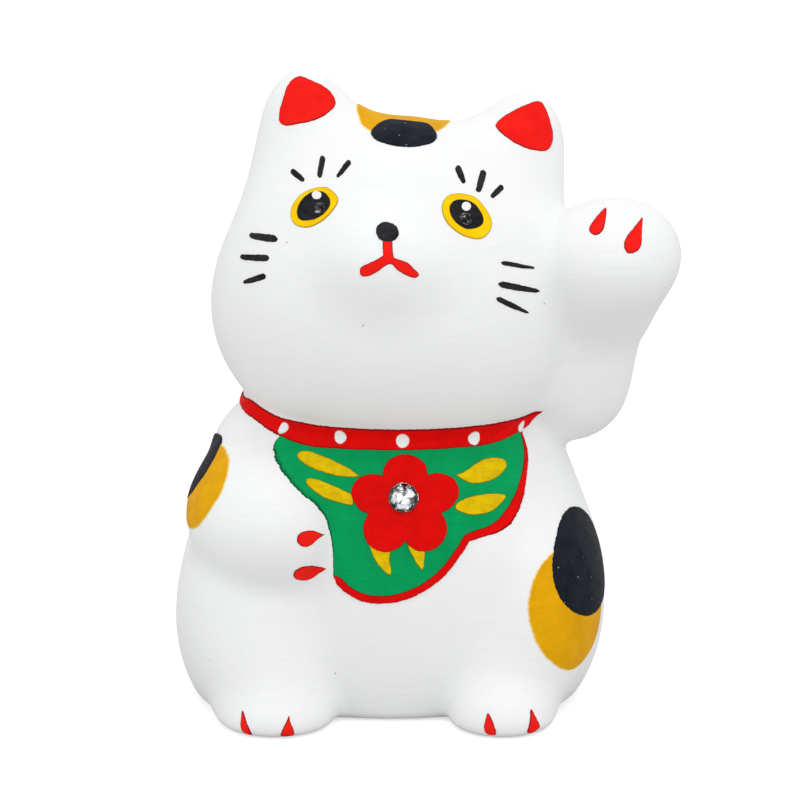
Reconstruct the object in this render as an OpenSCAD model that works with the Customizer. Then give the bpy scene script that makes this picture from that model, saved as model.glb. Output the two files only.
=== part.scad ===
// Beckoning cat figurine: a hollow slip-cast ceramic cat, seated, left paw raised.
// Millimetres, +Z up, the face looks along -Y. The origin is on the standing plane,
// under the middle of the body.

/* [Body] */
// Width of the seated body at the shoulders and haunches
body_w = 67.6; // [62:0.4:76]
// Depth of the body from chest to back
body_d = 54; // [50:0.5:60]
// Height of the crown of the torso, inside the head
body_h = 61.4; // [58:0.2:66]
// Wall thickness of the casting
wall_t = 3; // [2.4:0.1:3.6]
// How far the foot ring is rounded under
foot_round = 1.6; // [1:0.1:2.2]

/* [Head] */
// Width of the head across the cheeks
head_w = 58.4; // [54:0.2:64]
// Depth of the head from face to nape
head_d = 49; // [45:0.5:54]
// Height of the skull from chin to crown, without the ears
head_h = 52.4; // [49:0.2:56]
// Height of the head centre above the standing plane
head_z = 66.5; // [63:0.5:70]
// Sideways lean of the head
head_roll = 6; // [2:0.5:9]
// Half the length of an ear, from its root in the skull to its tip
ear_l = 17; // [15:0.5:19]
// Thickness of an ear at its root
ear_t = 14; // [11:0.5:16]
// How far the muzzle reaches from its root in the face
muzzle_d = 7.2; // [6:0.2:8.4]

/* [Limbs] */
// Width of a haunch
haunch_w = 27.4; // [25:0.2:30]
// Width of a foot
foot_w = 18.8; // [16:0.4:21]
// Length of a foot
foot_l = 20.4; // [18:0.4:22]
// Thickness of the lowered forearm at the wrist
forearm_d = 23.6; // [20:0.4:26]
// Width of the lifted paw
paw_w = 23; // [20:0.5:25]
// Thickness of the lifted arm at the shoulder
arm_d = 20.6; // [18:0.4:22]
// Height of the middle of the lifted paw
paw_z = 74; // [71:0.5:77]

/* [Base] */
// Thickness of the plate that closes the casting
base_t = 3; // [2:0.2:4]
// How far the plate stands below the foot ring
base_proud = 0.2; // [0.1:0.05:0.4]
// Diameter of the drain hole through the plate
drain_d = 9; // [6:0.5:11]
// Width of the plate as a share of the body width
base_share = 0.74; // [0.68:0.01:0.78]

/* [Collar and bib] */
// Height of the collar's upper edge at the throat
collar_z = 48; // [47:0.1:49]
// Width of the collar at the throat
collar_w = 3.6; // [2.8:0.1:4.4]
// Relief of the collar over the throat
collar_t = 0.4; // [0.3:0.05:0.6]
// Width of a dot on the collar
dot_d = 2.1; // [1.6:0.1:2.6]
// Height of the lowest point of the bib
bib_z = 21.6; // [20:0.1:23]
// Width of the piping round the bib
piping_w = 1.1; // [0.8:0.1:1.4]
// Distance of a petal's middle from the middle of the flower
petal_r = 5.3; // [4.8:0.1:5.6]
// Diameter of a petal
petal_d = 7.2; // [6.8:0.1:7.8]
// Diameter of the clear stone
crystal_d = 4.7; // [4.2:0.1:5.2]
// Height of the clear stone over its back
crystal_h = 1.9; // [1.5:0.1:2.2]

/* [Face] */
// Length of an eye
eye_l = 8.5; // [7:0.1:10.2]
// Width of an eye
eye_w = 5.4; // [4.5:0.1:6.5]
// Distance between the middles of the eyes
eye_span = 24.3; // [23:0.1:26]
// Height of the eyes over the middle of the head
eye_up = 16.4; // [15.5:0.05:17]
// Diameter of the dark stone in each eye
stone_d = 2; // [1.7:0.1:2.3]
// Width of the nose
nose_w = 3.6; // [3:0.1:4.3]
// Width of a painted stroke
stroke_w = 0.95; // [0.7:0.05:1.2]

/* [Paint] */
// Thickness of one coat of enamel
film_t = 0.18; // [0.12:0.02:0.26]
// Clearance between one layer and the next
film_gap = 0.06; // [0.05:0.01:0.08]

/* [Hidden] */

// Clay and enamel colours
white = [0.93, 0.93, 0.91];
red = [0.82, 0.05, 0.03];
green = [0.0, 0.45, 0.24];
yellow = [0.90, 0.70, 0.05];
ochre = [0.85, 0.60, 0.08];
black = [0.05, 0.05, 0.06];

// Proportions that follow the named sizes
bw = body_w / 67.6;
bd = body_d / 54;
bh = body_h / 61.4;
hw = head_w / 58.4;
hd = head_d / 49;
hh = head_h / 52.4;
lift_1 = film_gap;
lift_2 = lift_1 + film_t + film_gap;
lift_3 = lift_2 + film_t + film_gap;
lift_4 = lift_3 + film_t + film_gap;
head_c = [0.5, 0, head_z];
face_x = -2.6 * hw;
plate_a = body_w * base_share / 2;
plate_b = plate_a * 0.72 * bd / bw;
axis_y = 2.5 * bd;

// Sampling of the castings and the enamel
turns = 36;
rises = 26;
cap_rises = 13;
search = 14;

// ---- solid-form functions: negative inside, positive outside ----
function over(a, b) = [a.x / b.x, a.y / b.y, a.z / b.z];
function ball(p, c, r) =
    let (q = over(p - c, r), m = norm(over(q, r)), n = norm(q)) n * (n - 1) / max(m, 0.001);
function limb(p, a, b, ra, rb) =
    let (s = b - a, t = min(max((p - a) * s / (s * s), 0), 1))
    norm(p - a - t * s) - ra - t * t * (3 - 2 * t) * (rb - ra);
function blend(a, b, k) = min(a, b) - pow(max(k - abs(a - b), 0), 2) / k / 4;
function lean_y(p, a) = [p.x * cos(a) - p.z * sin(a), p.y, p.x * sin(a) + p.z * cos(a)];
function lean_x(p, a) = [p.x, p.y * cos(a) + p.z * sin(a), p.z * cos(a) - p.y * sin(a)];

// Points of the head are taken upright, before the head leans
function in_head(p) = lean_y(p - head_c, head_roll);
function ear_form(q, side) =
    let (e = lean_y(q - [side * 15.4 * hw, 2, 18.6 * hh], side * 13))
    ball(e, [0, 0, 0], [9.2 * hw, ear_t / 2, ear_l]);
function head_form(p) =
    let (q = in_head(p),
         skull = ball(q, [-0.2, 0, 3.2 * hh], [27.8 * hw, head_d * 0.49, head_h / 2]),
         cheeks = ball(q, [0.3, 0, -4.5 * hh], [head_w / 2, head_d / 2, 21.6 * hh]),
         muzzle = ball(q, [face_x, -20.5 * hd, 8.3], [8.5, muzzle_d, 6.6]),
         ears = min(ear_form(q, -1), ear_form(q, 1)))
    blend(blend(blend(skull, cheeks, 8), muzzle, 7), ears, 7);
function leg_form(p, side, haunch, shin, foot) =
    let (h = ball(p, [side * 22.2 * bw, -5 * bd, haunch.z], [haunch.x, 21 * bd, haunch.y]),
         s = limb(p, [side * shin.x * bw, -14.7 * bd, shin.z - 2], [side * (foot.x + 1) * bw, -20 * bd, 6.5], 8.1,
             foot.y - 0.4),
         f = ball(p, [side * foot.x * bw, -22.4 * bd, 1.4], [foot.y, foot_l / 2, foot.z]))
    [blend(h, s, 5), f];
function torso_form(p) =
    let (trunk = ball(p, [-0.4, axis_y, 18 * bh], [body_w / 2, body_d / 2, 43.4 * bh]),
         right = leg_form(p, -1, [haunch_w / 2, 19.5, 13.8], [22.5, 0, 21], [18.8, foot_w / 2, 6.6]),
         left = leg_form(p, 1, [haunch_w / 2 - 0.9, 20.5, 17], [20.5, 0, 25], [17.6, foot_w / 2 - 0.8, 7.4]),
         upper = limb(p, [-19.6 * bw, -2, 40 * bh], [-21.5 * bw, -9 * bd, 33 * bh], forearm_d * 0.43, forearm_d * 0.46),
         lower = ball(p, [-19.6 * bw, -13.6 * bd, 31 * bh], [12.6, 14.6, forearm_d / 2]),
         tail = limb(p, [6, 26 * bd, 6], [15, 23 * bd, 15], 4, 4),
         seated = blend(blend(trunk, left[0], 3.5), right[0], 3.5),
         footed = blend(blend(seated, right[1], 3), left[1], 2.4))
    blend(blend(footed, blend(upper, lower, 6), 2.6), tail, 3);
function body_form(p) =
    let (f = blend(torso_form(p), head_form(p), 2.5)) -blend(-f, p.z - base_proud, foot_round);
function arm_form(p) =
    let (paw = lean_x(lean_y(p - [35.2 * bw, -7.5, paw_z], -8), 20),
         stem = limb(p, [28.8 * bw, 1, 52.3], [33 * bw, -2, 64], arm_d / 2, arm_d * 0.42))
    max(blend(stem, ball(paw, [0, 0, 0], [paw_w / 2, paw_w * 0.49, paw_w * 0.4]), 9), film_gap - body_form(p));

// ---- rays: distance along d from p to the level h of a form ----
function root(f, h, p, d, a, b, n) =
    let (m = (a + b) / 2)
    n == 0 ? m : f(p + d * m) > h ? root(f, h, p, d, a, m, n - 1) : root(f, h, p, d, m, b, n - 1);
function hit(f, h, p, d, reach = 56) = p + d * root(f, h, p, d, 0, reach, search);
function compass(az, up = 0) = [sin(az) * cos(up), -cos(az) * cos(up), sin(up)];

// Places on the skin: round the body by azimuth and height, in front of the head,
// in front of the body, and over the crown of the head
function round_body(az, z, h) = hit(function (p) body_form(p), h, [0, axis_y * (1 - z / head_z), z], compass(az));
function on_face(x, z, h) =
    let (s = lean_y([x, 0, z], -head_roll) + head_c)
    hit(function (p) head_form(p), h, s, [0, -1, 0], 40);
function on_front(x, z, h) = hit(function (p) body_form(p), h, [x, -2, z], [0, -1, 0], 50);
function on_crown(side, back, h) =
    hit(function (p) head_form(p), h, head_c,
        lean_y([sin(side), sin(back) * cos(side), cos(back) * cos(side)], -head_roll), 45);
function on_paw(x, z, h) = hit(function (p) arm_form(p), h, [x, -6, z], [0, -1, 0], 24);

// ---- meshes ----
// Closed stack of rings between two end points
module stack(first, rings, last) {
    n = len(rings[0]);
    m = len(rings);
    polyhedron(
        points = concat([first], [for (r = rings) each r], [last]),
        faces = concat(
            [for (i = [0:n - 1]) [0, 1 + (i + 1) % n, 1 + i]],
            [for (j = [0:m - 2], i = [0:n - 1])
                let (a = 1 + j * n, k = (i + 1) % n) each [[a + i, a + k, a + n + k], [a + i, a + n + k, a + n + i]]],
            [for (i = [0:n - 1]) let (a = 1 + (m - 1) * n) [a + i, a + (i + 1) % n, a + n]]
        ),
        convexity = 6
    );
}

// Coat of enamel: an outline on the skin, filled in rings from its middle
module coat(place, outline, lift, thick, rings = 2) {
    mid = [for (p = outline) 1] * outline / len(outline);
    function ring(s, h) = [for (p = outline) let (q = mid + (p - mid) * s) place(q.x, q.y, h)];
    stack(
        place(mid.x, mid.y, lift + thick),
        concat([for (k = [1:rings]) ring(k / rings, lift + thick)],
               [for (k = [rings:-1:1]) ring(k / rings, lift)]),
        place(mid.x, mid.y, lift)
    );
}

// Band of enamel between two edges, each a list of places in step
module band(place, low, high, lift, thick, across = 1) {
    n = 2 * across + 2;
    loops = [for (i = [0:len(low) - 1]) concat(
        [for (k = [0:across]) let (q = low[i] + (high[i] - low[i]) * k / across) place(q.x, q.y, lift + thick)],
        [for (k = [across:-1:0]) let (q = low[i] + (high[i] - low[i]) * k / across) place(q.x, q.y, lift)])];
    last = (len(loops) - 1) * n;
    polyhedron(
        points = [for (l = loops) each l],
        faces = concat(
            [for (k = [0:across - 1]) each [[k, k + 1, n - 2 - k], [k, n - 2 - k, n - 1 - k]]],
            [for (j = [0:len(loops) - 2], i = [0:n - 1])
                let (a = j * n, k = (i + 1) % n) each [[a + i, a + n + i, a + n + k], [a + i, a + n + k, a + k]]],
            [for (k = [0:across - 1]) each [[last + k, last + n - 2 - k, last + k + 1],
                                            [last + k, last + n - 1 - k, last + n - 2 - k]]]
        ),
        convexity = 6
    );
}

// ---- outlines ----
function oval(c, l, w, tilt = 0, n = 24) =
    [for (i = [0:n - 1]) let (a = i * 360 / n)
        c + [l / 2 * cos(a) * cos(tilt) - w / 2 * sin(a) * sin(tilt),
             l / 2 * cos(a) * sin(tilt) + w / 2 * sin(a) * cos(tilt)]];
// Closed smooth curve through the given points, n steps to each stretch
function smooth(p, n) =
    [for (i = [0:len(p) - 1], k = [0:n - 1])
        let (m = len(p), a = p[(i + m - 1) % m], b = p[i], c = p[(i + 1) % m], d = p[(i + 2) % m], t = k / n)
        b + ((c - a) * t + (2 * a - 5 * b + 4 * c - d) * t * t + (3 * b - a - 3 * c + d) * t * t * t) / 2];
// Brush stroke from a to b, round at a and drawn out at b by the given share
function stroke(a, b, w, taper = 0.5, n = 5) =
    let (s = b - a, u = s / norm(s), v = [-u.y, u.x])
    concat([for (i = [0:n]) let (t = 90 + i * 180 / n) a + (u * (1 + cos(t)) + v * sin(t)) * w / 2],
           [for (i = [0:n]) let (t = -90 + i * 180 / n) b + (u * (cos(t) - 1) + v * sin(t)) * w / 2 * taper]);
// Teardrop claw or leaf with its point at b
function drop(a, b, w, n = 12) =
    let (s = b - a, u = s / norm(s), v = [-u.y, u.x])
    [for (i = [0:n - 1]) let (t = 180 + i * 360 / n, x = (1 + cos(t)) / 2)
        a + s * x + v * sin(t) * w * 0.62 * (1 - 0.55 * x)];

// ---- castings ----
function axis_at(z) = [0, axis_y * (1 - z / head_z), z];
function level(j) = base_proud + (head_z - base_proud) * pow(j / rises, 0.96);
// One sight line of the casting: where it starts and which way it looks
function sight_from(j) = j <= rises ? axis_at(level(j)) : [0, 0, head_z];
function sight_to(j, az) = compass(az, j <= rises ? 0 : (j - rises) * 90 / (cap_rises + 1));
function skin_at(j, az) = hit(function (p) body_form(p), 0, sight_from(j), sight_to(j, az));
function lining_at(j, az) =
    level(j) < base_t + 1.2
    ? [0, axis_y, level(j)] + compass(az) * plate_reach(az)
    : hit(function (p) body_form(p), -wall_t, sight_from(j), sight_to(j, az));
function plate_reach(az) = 0.1 + plate_a * plate_b / norm([plate_b * sin(az), plate_a * cos(az)]);

// Half of the casting, from azimuth a to a + 180
module half_shell(a) {
    loop = 2 * turns + 2;
    top = rises + cap_rises;
    crown = loop * (top + 1);
    function az(i) = a + i * 180 / turns;
    polyhedron(
        points = concat(
            [for (j = [0:top]) each concat([for (i = [0:turns]) skin_at(j, az(i))],
                                           [for (i = [turns:-1:0]) lining_at(j, az(i))])],
            [for (h = [0, -wall_t]) hit(function (p) body_form(p), h, [0, 0, head_z], [0, 0, 1])]
        ),
        faces = concat(
            [for (i = [0:turns - 1])
                each [[i, i + 1, loop - 2 - i], [i, loop - 2 - i, loop - 1 - i]]],
            [for (j = [0:top - 1], i = [0:loop - 1])
                let (b = j * loop, k = (i + 1) % loop)
                each [[b + i, b + loop + i, b + loop + k], [b + i, b + loop + k, b + k]]],
            [for (i = [0:turns - 1]) let (b = top * loop + i) [b, crown, b + 1]],
            [for (i = [turns + 1:loop - 2]) let (b = top * loop + i) [b, crown + 1, b + 1]],
            let (b = top * loop)
            [[b + turns, crown, crown + 1], [b + turns, crown + 1, b + turns + 1],
             [b + loop - 1, crown + 1, crown], [b + loop - 1, crown, b]]
        ),
        convexity = 8
    );
}
module front_shell() color(white) half_shell(-90);
module rear_shell() color(white) half_shell(90);

// Lifted arm, rings square to its own axis, seated on the cheek and shoulder
module raised_arm() {
    foot = [29.8 * bw, 1, 50];
    hand = [35.2 * bw, -7, paw_z];
    w = (hand - foot) / norm(hand - foot);
    u = cross([0, 1, 0], w) / norm(cross([0, 1, 0], w));
    v = cross(w, u);
    around = 28;
    function spot(p, turn, up) =
        hit(function (q) arm_form(q), 0, p, (u * cos(turn) + v * sin(turn)) * cos(up) + w * sin(up), 26);
    function ring(p, up) = [for (i = [0:around - 1]) spot(p, i * 360 / around, up)];
    color(white) stack(
        spot(hand, 0, 90),
        concat([for (a = [75:-15:15]) ring(hand, a)],
               [for (t = [8:-1:0]) ring(foot + (hand - foot) * t / 8, 0)],
               [for (a = [15:15:75]) ring(foot, -a)]),
        spot(foot, 0, -90)
    );
}

// Plate that closes the casting, with the drain hole
module base_plate() {
    color(white) translate([0, axis_y, 0]) difference() {
        linear_extrude(base_t) polygon([for (a = [0:5:355]) [plate_a * cos(a), plate_b * sin(a)]]);
        translate([0, plate_b * 0.6, -1]) cylinder(h = base_t + 2, d = drain_d, $fn = 48);
    }
}

// ---- collar and bib ----
function ease(t) = let (s = min(max(t, 0), 1)) s * s * (3 - 2 * s);
// Lower edge before its end is drawn up: level at the throat, rising round the sides
function collar_base(az) =
    collar_z - collar_w
    + (az < 0 ? 4.6 * ease((-az - 34) / 55) - 1.6 * ease((-az - 110) / 110) : 3 * ease((az - 40) / 50));
function collar_low(az) = collar_base(az) + 0.5 * collar_w * ease((az - 68.2) / 3.6);
function collar_top(az) =
    let (side = 0.37 * ease((-az - 38) / 24) + 0.3 * ease((-az - 70) / 14) * (1 - ease((-az - 100) / 40)))
    collar_base(az) + 0.12 * collar_w * ease((az - 64) / 6)
    + collar_w * (1 - (az < 0 ? side : 0.73 * ease((az - 40) / 50)));
module collar() {
    span = concat([for (az = [-238:5:62]) az], [65, 67.5, 69, 70.2]);
    color(red) band(function (u, v, h) round_body(u, v, h), [for (a = span) [a, collar_low(a)]],
        [for (a = span) [a, collar_top(a)]], lift_1, collar_t, 2);
}
module collar_dots() {
    color(white) for (az = [-51.9, -24.4, 4.7, 37.8, 62.6])
        coat(function (u, v, h) round_body(u, v, h),
             oval([az, (collar_top(az) + collar_low(az)) / 2 - 0.15], 155 * dot_d / body_w, dot_d * 1.05, 0, 14),
             lift_1 + collar_t + film_gap, film_t, 1);
}

// Lower edge of the bib from its left end to its right end, as azimuth and height
function bib_edge() =
    let (drop_h = collar_z - bib_z, left = -52, right = 63)
    concat([[left, collar_low(left) - 0.7]],
           [for (p = [[-49.6, 0.15], [-41.1, 0.23], [-32.1, 0.34], [-27.1, 0.43], [-23.4, 0.53],
                      [-21.6, 0.66], [-21.1, 0.79], [-21, 0.89], [-16.8, 0.93], [-10.7, 0.985], [-2.7, 1],
                      [5.8, 0.97], [13.7, 0.89], [21.2, 0.78], [27, 0.65], [33.9, 0.62], [41.3, 0.55],
                      [48.7, 0.44], [56.3, 0.29], [60.9, 0.17]])
               [p.x, collar_z - p.y * drop_h]],
           [[right, collar_low(right) - 0.7]]);
function along(p, n) =
    [for (i = [0:len(p) - 2], k = [0:i == len(p) - 2 ? n : n - 1])
        let (a = p[max(i - 1, 0)], b = p[i], c = p[i + 1], d = p[min(i + 2, len(p) - 1)], t = k / n)
        b + ((c - a) * t + (2 * a - 5 * b + 4 * c - d) * t * t + (3 * b - a - 3 * c + d) * t * t * t) / 2];
function shift_out(p, by) =
    [for (i = [0:len(p) - 1])
        let (s = p[min(i + 1, len(p) - 1)] - p[max(i - 1, 0)], t = [s.x * bw / 2.4, s.y], n = [t.y, -t.x] / norm(t))
        p[i] + [n.x * 2.4 / bw, n.y] * by];
module bib() {
    edge = along(bib_edge(), 3);
    color(green) band(function (u, v, h) round_body(u, v, h), edge,
        [for (i = [0:len(edge) - 1])
            let (az = edge[0].x + (edge[len(edge) - 1].x - edge[0].x) * i / (len(edge) - 1))
            [az, collar_low(az) - 0.2]],
        lift_1, film_t, 7);
}
module bib_piping() {
    edge = along([for (i = [8:len(bib_edge()) - 1]) bib_edge()[i]], 3);
    color(red) band(function (u, v, h) round_body(u, v, h), shift_out(edge, piping_w + 0.12),
        shift_out(edge, 0.12), lift_1, film_t);
}

// Flower of five round petals, and the leaves between them, seen from the front. The
// throat slopes back, so what lies above the middle of the flower looks shorter.
flower_at = [2, collar_z - 11.4];
function on_bib(p) = flower_at + [p.x, p.y * (p.y > 0 ? 0.81 : 1)];
function petals(n) =
    [for (i = [0:n - 1])
        let (a = i * 360 / n, b = (a + 18) % 72 - 36, r = petal_d / 2)
        on_bib([cos(a), sin(a)] * (petal_r * cos(b) + sqrt(r * r - pow(petal_r * sin(b), 2))))];
module bib_flower() {
    color(red) coat(function (u, v, h) on_front(u, v, h), petals(60), lift_3, film_t, 3);
}
module bib_leaves() {
    color(yellow) for (l = [[-16.8, 7.6, -7, 4.6, 3.6], [-15.4, 3.4, -7.4, -0.4, 2.9], [16.6, 6, 7.8, 4.7, 4.2],
                            [16.2, 0.2, 7.8, -1, 3.6], [-4, -5.4, -2.4, -11.4, 3.2], [1.7, -6.6, 2.7, -10.7, 2.4]])
        coat(function (u, v, h) on_front(u, v, h),
             [for (p = drop([l[0], l[1]], [l[2], l[3]], l[4])) on_bib(p)], lift_2, film_t, 2);
}

// ---- set stones ----
function slope(f, p) =
    let (s = 0.4, g = [for (d = [[s, 0, 0], [0, s, 0], [0, 0, s]]) f(p + d) - f(p - d)]) g / norm(g);
// Stands its children square to a skin at a place on it
module seat(f, p) {
    n = slope(f, p);
    translate(p) rotate([0, acos(n.z), atan2(n.y, n.x)]) children();
}
module seat_crystal() {
    seat(function (p) body_form(p), on_front(flower_at.x - 0.3, flower_at.y + 0.7, lift_4 + 0.02)) children();
}
module crystal_glue() color([0.85, 0.82, 0.7]) seat_crystal() cylinder(h = 0.15, d = crystal_d - 0.3, $fn = 48);
module crystal_foil()
    color([0.72, 0.72, 0.75]) seat_crystal() translate([0, 0, 0.16]) cylinder(h = 0.08, d = crystal_d - 0.1, $fn = 48);
module flower_crystal() {
    color([0.86, 0.93, 0.97]) seat_crystal() translate([0, 0, 0.25]) hull() {
        cylinder(h = 0.2, d = crystal_d, $fn = 12);
        translate([0, 0, crystal_h * 0.55]) rotate(15) cylinder(h = 0.01, d = crystal_d * 0.8, $fn = 12);
        translate([0, 0, crystal_h - 0.01]) cylinder(h = 0.01, d = crystal_d * 0.46, $fn = 12);
    }
}

// ---- face ----
function eye_at(side) = [face_x + side * eye_span / 2, eye_up + side * 0.65];
function eye_tilt(side) = side < 0 ? 36 : -29;
function stone_at(side) = eye_at(side) + (side < 0 ? [1, -0.1] : [-0.3, -0.5]);
module on_eyes(lift, l, w, shift = [0, 0]) {
    for (side = [-1, 1])
        coat(function (u, v, h) on_face(u, v, h), oval(eye_at(side) + shift, l, w, eye_tilt(side)), lift, film_t, 2);
}
module eye_irises() color(yellow) on_eyes(lift_1, eye_l, eye_w);
module eye_pupils() color(black) on_eyes(lift_2, eye_l * 0.69, eye_w * 0.69);
module eye_glints() {
    color(white) for (side = [-1, 1])
        let (at = stone_at(side) + [side < 0 ? -0.7 : -0.1, 1.8])
        coat(function (u, v, h) on_face(u, v, h), oval(at, 1.7, 1.3, 20, 12), lift_3, film_t, 1);
}
module seat_stones() {
    for (side = [-1, 1])
        let (s = stone_at(side)) seat(function (p) head_form(p), on_face(s.x, s.y, lift_3)) children();
}
module eye_stone_glue() color([0.85, 0.82, 0.7]) seat_stones() cylinder(h = 0.1, d = stone_d - 0.3, $fn = 32);
module eye_stones() {
    color([0.12, 0.12, 0.14]) seat_stones() translate([0, 0, 0.11]) hull() {
        cylinder(h = 0.15, d = stone_d, $fn = 8);
        translate([0, 0, stone_d * 0.4]) rotate(22.5) cylinder(h = 0.01, d = stone_d * 0.5, $fn = 8);
    }
}
module nose() {
    color(black) coat(function (u, v, h) on_face(u, v, h), oval([face_x - 0.2, 14.2], nose_w, 2.7), lift_1, film_t, 2);
}
module mouth() {
    color(red) coat(function (u, v, h) on_face(u, v, h), [for (q = smooth([
        [-0.7, 13], [-0.5, 10.9], [-1.8, 9.8], [-3.7, 8.5], [-3.6, 7.3], [-1.8, 7.8], [-0.1, 9.1], [0.8, 9.6],
        [1.7, 9], [4.7, 7.8], [5.4, 8.3], [4.9, 8.9], [3, 10.2], [1.1, 10.8], [0.5, 13]], 2)) q + [face_x, 0]],
        lift_1, film_t, 2);
}
module face_strokes(list, w) {
    for (s = list)
        coat(function (u, v, h) on_face(u, v, h), stroke([s[0], s[1]], [s[2], s[3]], w), lift_1, film_t, 1);
}
module lash_strokes() {
    color(black) face_strokes([[-19, 20, -16.7, 19.1], [-14.1, 23, -14.3, 20], [-9.7, 23.2, -11.6, 20.5],
        [7.3, 24, 8.6, 21.8], [11.7, 23.5, 11.1, 20.6], [15, 21.3, 13.3, 20]], stroke_w);
}
module whiskers() {
    color(black) face_strokes([[-20, 10, -24.5, 9.1], [-21, 7.1, -25.6, 5.6], [-21.3, 4.2, -24.6, 2],
        [15.8, 10.4, 21.2, 9.5], [15.6, 7.3, 22.5, 5.8], [15.6, 4.9, 20.9, 2.6]], stroke_w);
}
function either(side, p) =
    side > 0 ? p : [for (i = [len(p) - 1:-1:0]) [-p[i].x, p[i].y]];
module ear_inners() {
    inner = smooth([for (p = [[19.4, 34.2], [16.4, 32.9], [14, 31.1], [13.3, 29.9], [15.2, 28.2], [18.2, 27],
                              [21.2, 26.6], [22.3, 28], [21.9, 31], [20.8, 33.4]]) [p.x * hw, p.y * hh]], 2);
    color(red) for (side = [-1, 1])
        coat(function (u, v, h) on_face(u, v, h), either(side, inner), lift_1, film_t, 2);
}

// ---- coat markings and claws ----
module ochre_patches() {
    color(ochre) {
        coat(function (u, v, h) on_crown(u, v, h), oval([-3.1, 1], 28.6, 41), lift_1, film_t, 3);
        coat(function (u, v, h) round_body(u, v, h), oval([52.1, 18.8], 29.2, 20.4), lift_1, film_t, 3);
        coat(function (u, v, h) round_body(u, v, h), oval([-66, 37.2], 31, 12.6), lift_1, film_t, 3);
    }
}
module black_patches() {
    color(black) {
        coat(function (u, v, h) on_crown(u, v, h), oval([-3, -14.8], 20.6, 18.8), lift_2, film_t, 2);
        coat(function (u, v, h) round_body(u, v, h), oval([62.2, 25.1], 32.5, 17), lift_2, film_t, 3);
        coat(function (u, v, h) round_body(u, v, h), oval([-75.5, 39.2], 27, 9.8), lift_2, film_t, 3);
    }
}
module claws() {
    color(red) {
        for (c = [[-15.2, 31.5, -10.9, 31.8], [-15.8, 25.4, -10.7, 25.9]])
            coat(function (u, v, h) on_front(u, v, h), drop([c[0], c[1]], [c[2], c[3]], 2.4), lift_1, film_t, 1);
        for (c = [[-23.2, -0.6], [-16.8, 0.3], [15.5, -0.2], [22.6, -0.6]])
            coat(function (u, v, h) on_front(u, v, h), drop([c[0], 0.9], [c[0] + c[1], 4.1], 1.9), lift_1, film_t, 1);
        for (c = [[32, 79.1, 34.2, 82.4], [37.8, 76.4, 39.9, 80.9]])
            coat(function (u, v, h) on_paw(u, v, h), drop([c[0], c[1]], [c[2], c[3]], 2.3), lift_1, film_t, 1);
    }
}

front_shell();
rear_shell();
raised_arm();
base_plate();
collar();
collar_dots();
bib();
bib_piping();
bib_leaves();
bib_flower();
crystal_glue();
crystal_foil();
flower_crystal();
eye_irises();
eye_pupils();
eye_glints();
eye_stone_glue();
eye_stones();
nose();
mouth();
lash_strokes();
whiskers();
ear_inners();
ochre_patches();
black_patches();
claws();
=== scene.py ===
"""Beckoning cat figurine: the looks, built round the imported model.

The casting is one smooth skin, found from the same blended forms as the CAD model. Every painted
mark is a thin closed coat of enamel laid on that skin. Forms and places are in millimetres, and
become metres when a mesh is made.
"""

import math

import bmesh
import bpy
import numpy as np
import openvdb
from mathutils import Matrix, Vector
from mathutils.geometry import delaunay_2d_cdt


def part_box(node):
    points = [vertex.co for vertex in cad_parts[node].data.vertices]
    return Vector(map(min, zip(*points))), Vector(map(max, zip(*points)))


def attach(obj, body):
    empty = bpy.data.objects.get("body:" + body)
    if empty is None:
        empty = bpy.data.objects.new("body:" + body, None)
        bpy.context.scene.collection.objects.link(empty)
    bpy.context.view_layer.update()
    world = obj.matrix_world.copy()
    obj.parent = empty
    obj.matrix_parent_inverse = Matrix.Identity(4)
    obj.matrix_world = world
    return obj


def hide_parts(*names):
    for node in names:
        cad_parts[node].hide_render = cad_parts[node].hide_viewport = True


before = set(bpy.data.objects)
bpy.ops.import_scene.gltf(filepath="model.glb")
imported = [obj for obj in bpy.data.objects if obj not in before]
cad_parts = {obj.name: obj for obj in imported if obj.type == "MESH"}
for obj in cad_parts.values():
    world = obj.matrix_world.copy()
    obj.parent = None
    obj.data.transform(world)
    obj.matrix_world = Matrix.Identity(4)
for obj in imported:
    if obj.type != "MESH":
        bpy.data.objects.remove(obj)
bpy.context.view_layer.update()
MM = 0.001
CASTINGS = ("front_shell", "rear_shell", "raised_arm")

# ---------------------------------------------------------------- forms
HEAD = np.array((0.5, 0.0, 66.5))  # the head's middle
HEAD_ROLL = 6  # degrees
AXIS_Y = 2.5  # where the trunk's axis stands
BASE_PROUD = 0.2  # the foot ring's height above the plate's standing face
FOOT_ROUND = 1.6
WALL = 3.0
WELL = 25.11, 18.11  # half axes of the opening for the base plate
WELL_TOP = 4.2
HOLLOW_LAP = 0.3  # how far the hollow reaches down into that opening


def ball(p, centre, radii):
    """About the distance to an ellipsoid, negative inside it."""
    q = (p - np.float32(centre)) / np.float32(radii)
    far = np.sqrt((q * q).sum(-1))
    steep = np.sqrt(((q / np.float32(radii)) ** 2).sum(-1))
    return far * (far - 1) / np.maximum(steep, 1e-3)


def limb(p, a, b, ra, rb):
    """Round limb from a to b, whose radius eases from ra to rb."""
    a, s = np.float32(a), np.float32(b) - np.float32(a)
    t = np.clip(((p - a) @ s) / (s @ s), 0, 1)
    q = p - a - t[..., None] * s
    return np.sqrt((q * q).sum(-1)) - ra - t * t * (3 - 2 * t) * (rb - ra)


def blend(a, b, k):
    """Two forms joined, melted into each other over k."""
    return np.minimum(a, b) - np.maximum(k - np.abs(a - b), 0) ** 2 / (4 * k)


def lean_y(p, degrees):
    c, s = math.cos(math.radians(degrees)), math.sin(math.radians(degrees))
    x, y, z = p[..., 0], p[..., 1], p[..., 2]
    return np.stack((x * c - z * s, y, x * s + z * c), -1)


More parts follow.
